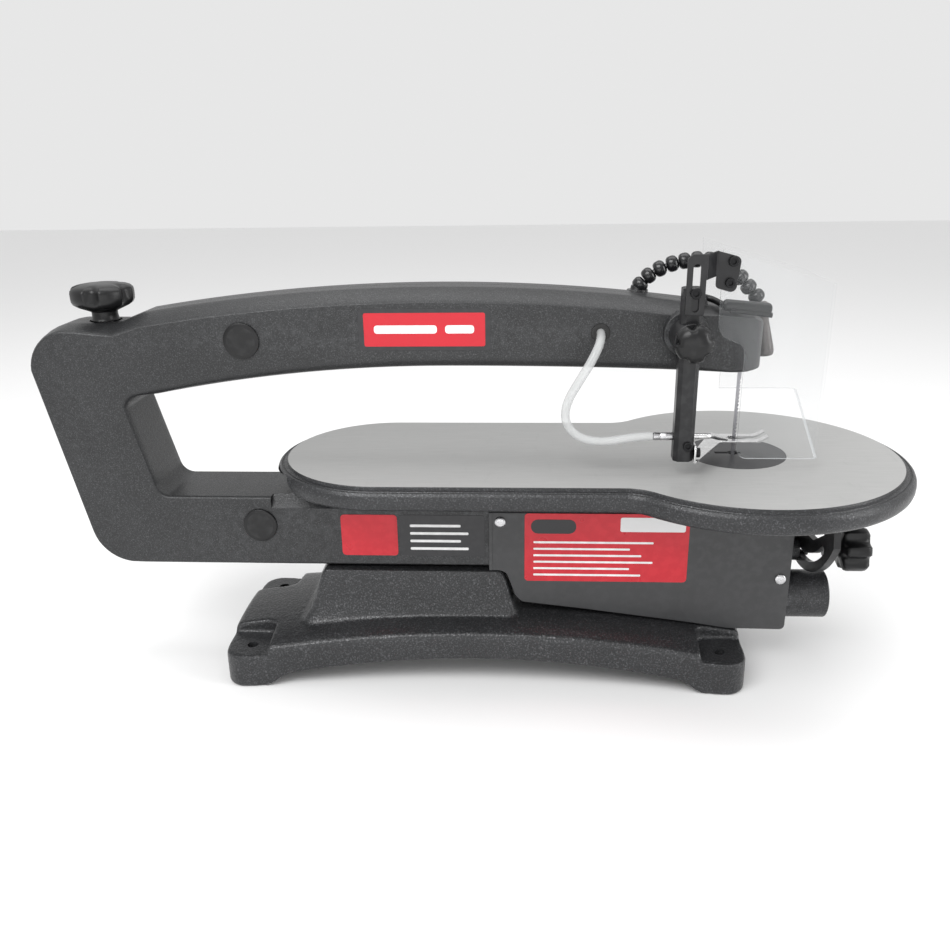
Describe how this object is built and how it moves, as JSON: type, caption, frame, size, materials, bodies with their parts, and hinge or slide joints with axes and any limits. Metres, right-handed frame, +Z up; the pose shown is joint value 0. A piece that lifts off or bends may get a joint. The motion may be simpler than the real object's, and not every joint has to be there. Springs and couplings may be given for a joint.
{
  "type": "scroll saw",
  "caption": "Parallel-arm scroll saw with a tilting table, clear blade guard, presser foot, air blower, work light and a cast base.",
  "frame": {"origin": "centre of the four base holes, on the surface that the saw stands on", "axes": "+X along the arms from the column towards the operator, +Y away from the side with the hold-down post, +Z up"},
  "size_m": [0.6711, 0.25, 0.336],
  "materials": {
    "casting_paint": "hammered dark charcoal enamel with small silvery dimples",
    "cover_paint": "fine satin dark grey powder coat",
    "table_metal": "ground flat, matt, with fine cutter marks",
    "insert_plastic": "moulded, matt",
    "black_metal": "satin black",
    "black_plastic": "moulded, satin",
    "black_screw": "black oxide",
    "bright_steel": "bright turned steel",
    "arm_metal": "as cast",
    "bronze": "sintered bronze",
    "blade_steel": "blued spring steel",
    "clamp_steel": "dark phosphated",
    "motor_paint": "dark painted die casting",
    "soft_rubber": "moulded",
    "clear_hose": "clear, slightly milky",
    "plated_metal": "bright plated",
    "clear_guard": "clear, glossy",
    "red_plastic": "moulded, glossy"
  },
  "bodies": {
    "frame": {"base_casting": "casting_paint", "housing_left": "casting_paint", "housing_right": "casting_paint", "housing_screws": "bright_steel", "drive_case": "casting_paint", "pivot_caps": "black_metal", "upper_pivot_pin": "bright_steel", "lower_pivot_pin": "bright_steel", "lever_bracket": "black_metal", "lock_boss": "casting_paint", "side_cover": "cover_paint", "side_cover_screws": "bright_steel", "motor_housing": "motor_paint", "motor_end_cap": "black_plastic", "air_bellows": "soft_rubber", "hose_grommet": "soft_rubber", "air_hose": "clear_hose", "post_clamp_block": "black_metal", "dust_port": "casting_paint", "switch_box": "black_plastic", "cable_gland": "black_plastic", "lamp_base": "black_plastic"},
    "upper_arm": {"upper_rocker_arm": "arm_metal", "upper_pivot_bush": "bronze"},
    "lower_arm": {"lower_rocker_arm": "arm_metal", "lower_pivot_bush": "bronze"},
    "tension_rod_group": {"tension_rod": "bright_steel", "upper_rod_trunnion": "bright_steel", "lower_rod_trunnion": "bright_steel"},
    "tension_knob_body": {"tension_knob": "black_plastic"},
    "blade_group": {"upper_blade_clamp": "clamp_steel", "lower_blade_clamp": "clamp_steel", "blade": "blade_steel", "blade_clamp_screws": "black_screw"},
    "tension_lever_body": {"tension_lever": "black_plastic"},
    "table": {"table_casting": "table_metal", "table_insert": "insert_plastic", "table_trunnion": "black_metal"},
    "tilt_lock": {"tilt_lock_bolt": "bright_steel", "tilt_lock_knob": "black_plastic"},
    "crank": {"motor_rotor": "bright_steel", "crank_wheel": "bright_steel", "crank_pin": "bright_steel"},
    "conrod": {"connecting_rod": "arm_metal", "rod_bearing": "bright_steel"},
    "post": {"foot_post": "black_metal", "air_nozzle": "plated_metal", "nozzle_ferrule": "plated_metal", "foot_screws": "black_screw"},
    "post_knob": {"post_clamp_knob": "black_plastic"},
    "foot": {"presser_foot": "plated_metal"},
    "guard": {"guard_bracket": "black_metal", "guard_shield": "clear_guard", "guard_screws": "black_screw"},
    "switch": {"switch_rocker": "red_plastic"},
    "dial": {"speed_dial": "black_plastic"},
    "neck_lower": {"lamp_neck_lower": "black_plastic"},
    "neck_middle": {"lamp_neck_middle": "black_plastic"},
    "neck_upper": {"lamp_neck_upper": "black_plastic"},
    "head": {"lamp_head": "black_plastic"}
  },
  "joints": [
    {"name": "lower_arm_rock", "type": "hinge", "parent": "frame", "child": "lower_arm", "pos_m": [-0.176, 0, 0.1245], "axis": [0, 1, 0], "range_deg": [-1.43, 1.43]},
    {"name": "upper_arm_rock", "type": "hinge", "parent": "frame", "child": "upper_arm", "pos_m": [-0.176, 0, 0.272], "axis": [0, 1, 0], "range_deg": [-1.43, 1.43]},
    {"name": "tension_rod_hang", "type": "hinge", "parent": "upper_arm", "child": "tension_rod_group", "pos_m": [-0.29, 0, 0.268], "axis": [0, 1, 0], "range_deg": [-1.43, 1.43]},
    {"name": "blade_hang", "type": "hinge", "parent": "upper_arm", "child": "blade_group", "pos_m": [0.195, 0, 0.267], "axis": [0, 1, 0], "range_deg": [-1.43, 1.43]},
    {"name": "conrod_hang", "type": "hinge", "parent": "lower_arm", "child": "conrod", "pos_m": [0.0917, 0, 0.12089], "axis": [0, 1, 0], "range_deg": [-1.43, 1.43]},
    {"name": "crank_spin", "type": "hinge", "parent": "frame", "child": "crank", "pos_m": [0.085, 0, 0.088], "axis": [0, 1, 0], "continuous": true},
    {"name": "tension_knob_turn", "type": "hinge", "parent": "tension_rod_group", "child": "tension_knob_body", "pos_m": [-0.29, 0, 0.296], "axis": [0, 0, 1], "continuous": true},
    {"name": "tension_lever_flip", "type": "hinge", "parent": "frame", "child": "tension_lever_body", "pos_m": [0.158, -0.012, 0.2998], "axis": [0, -1, 0], "range_deg": [0, 110]},
    {"name": "table_tilt", "type": "hinge", "parent": "frame", "child": "table", "pos_m": [0.195, 0, 0.176], "axis": [1, 0, 0], "range_deg": [0, 45]},
    {"name": "tilt_lock_turn", "type": "hinge", "parent": "frame", "child": "tilt_lock", "pos_m": [0.285, 0, 0.095], "axis": [1, 0, 0], "continuous": true},
    {"name": "post_slide", "type": "slide", "parent": "frame", "child": "post", "axis": [0, 0, 1], "range_m": [0, 0.03], "deforming": ["air_hose"]},
    {"name": "post_knob_turn", "type": "hinge", "parent": "frame", "child": "post_knob", "pos_m": [0.147, -0.065, 0.277], "axis": [0, 1, 0], "continuous": true},
    {"name": "foot_tilt", "type": "hinge", "parent": "post", "child": "foot", "pos_m": [0.155, -0.05, 0.193], "axis": [1, 0, 0], "range_deg": [-8, 2]},
    {"name": "guard_slide", "type": "slide", "parent": "post", "child": "guard", "axis": [0, 0, 1], "range_m": [-0.004, 0.01]},
    {"name": "switch_press", "type": "hinge", "parent": "frame", "child": "switch", "pos_m": [0.207, 0.048, 0.116], "axis": [1, 0, 0], "range_deg": [-8, 8]},
    {"name": "dial_turn", "type": "hinge", "parent": "frame", "child": "dial", "pos_m": [0.229, 0.058, 0.116], "axis": [0, 1, 0], "range_deg": [0, 270]},
    {"name": "neck_lower_bend", "type": "hinge", "parent": "frame", "child": "neck_lower", "pos_m": [0.11928, 0.015, 0.3063], "axis": [0, 1, 0], "range_deg": [-6, 0]},
    {"name": "neck_middle_bend", "type": "hinge", "parent": "neck_lower", "child": "neck_middle", "pos_m": [0.1526, 0.015, 0.32229], "axis": [0, 1, 0], "range_deg": [-6, 0]},
    {"name": "neck_upper_bend", "type": "hinge", "parent": "neck_middle", "child": "neck_upper", "pos_m": [0.18767, 0.015, 0.31413], "axis": [0, 1, 0], "range_deg": [-6, 1]},
    {"name": "lamp_head_bend", "type": "hinge", "parent": "neck_upper", "child": "head", "pos_m": [0.2069, 0.015, 0.29366], "axis": [0, 1, 0], "range_deg": [-6, 3]}
  ],
  "couplings": [
    {"joint": "upper_arm_rock", "follows": "lower_arm_rock", "ratio": 1},
    {"joint": "tension_rod_hang", "follows": "lower_arm_rock", "ratio": -1},
    {"joint": "blade_hang", "follows": "lower_arm_rock", "ratio": -1},
    {"joint": "conrod_hang", "follows": "lower_arm_rock", "ratio": -1}
  ]
}
